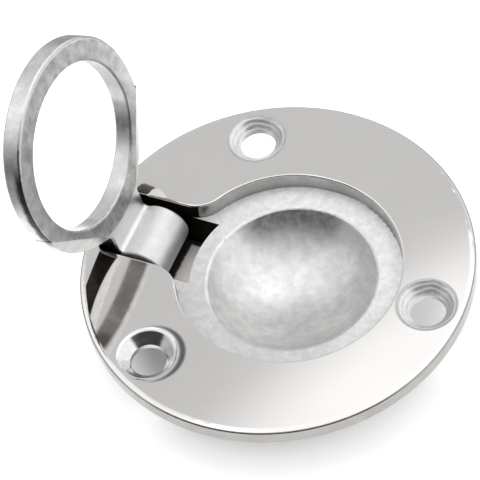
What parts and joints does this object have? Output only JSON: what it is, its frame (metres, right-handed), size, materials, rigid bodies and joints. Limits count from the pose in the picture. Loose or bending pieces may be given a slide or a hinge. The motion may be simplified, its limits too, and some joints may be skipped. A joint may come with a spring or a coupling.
{
  "type": "recessed ring pull",
  "caption": "Round recessed ring pull: a countersunk cast plate with a dished finger bowl and a hinged finger ring that folds down into it.",
  "frame": {"origin": "centre of the round plate, on the mounting face at the back of its flange", "axes": "+Z out of the front face, +X from the hinge side to the ring's grip side when the ring is folded in; the hinge pin is along Y"},
  "size_m": [0.0696, 0.0636, 0.0475],
  "materials": {
    "plate_metal": "mirror polished face and edge, matte tumbled ledge, bowl, pocket and back",
    "ring_metal": "matte cast faces, half-polished sides with fine scratches",
    "pin_metal": "drawn and ground"
  },
  "bodies": {
    "base": {"base_plate": "plate_metal", "hinge_pin": "pin_metal"},
    "ring": {"pull_ring": "ring_metal"}
  },
  "joints": [
    {"name": "ring_hinge", "type": "hinge", "parent": "base", "child": "ring", "pos_m": [-0.0225, 0, -0.00198], "axis": [0, 1, 0], "range_deg": [0, 104.3]}
  ]
}
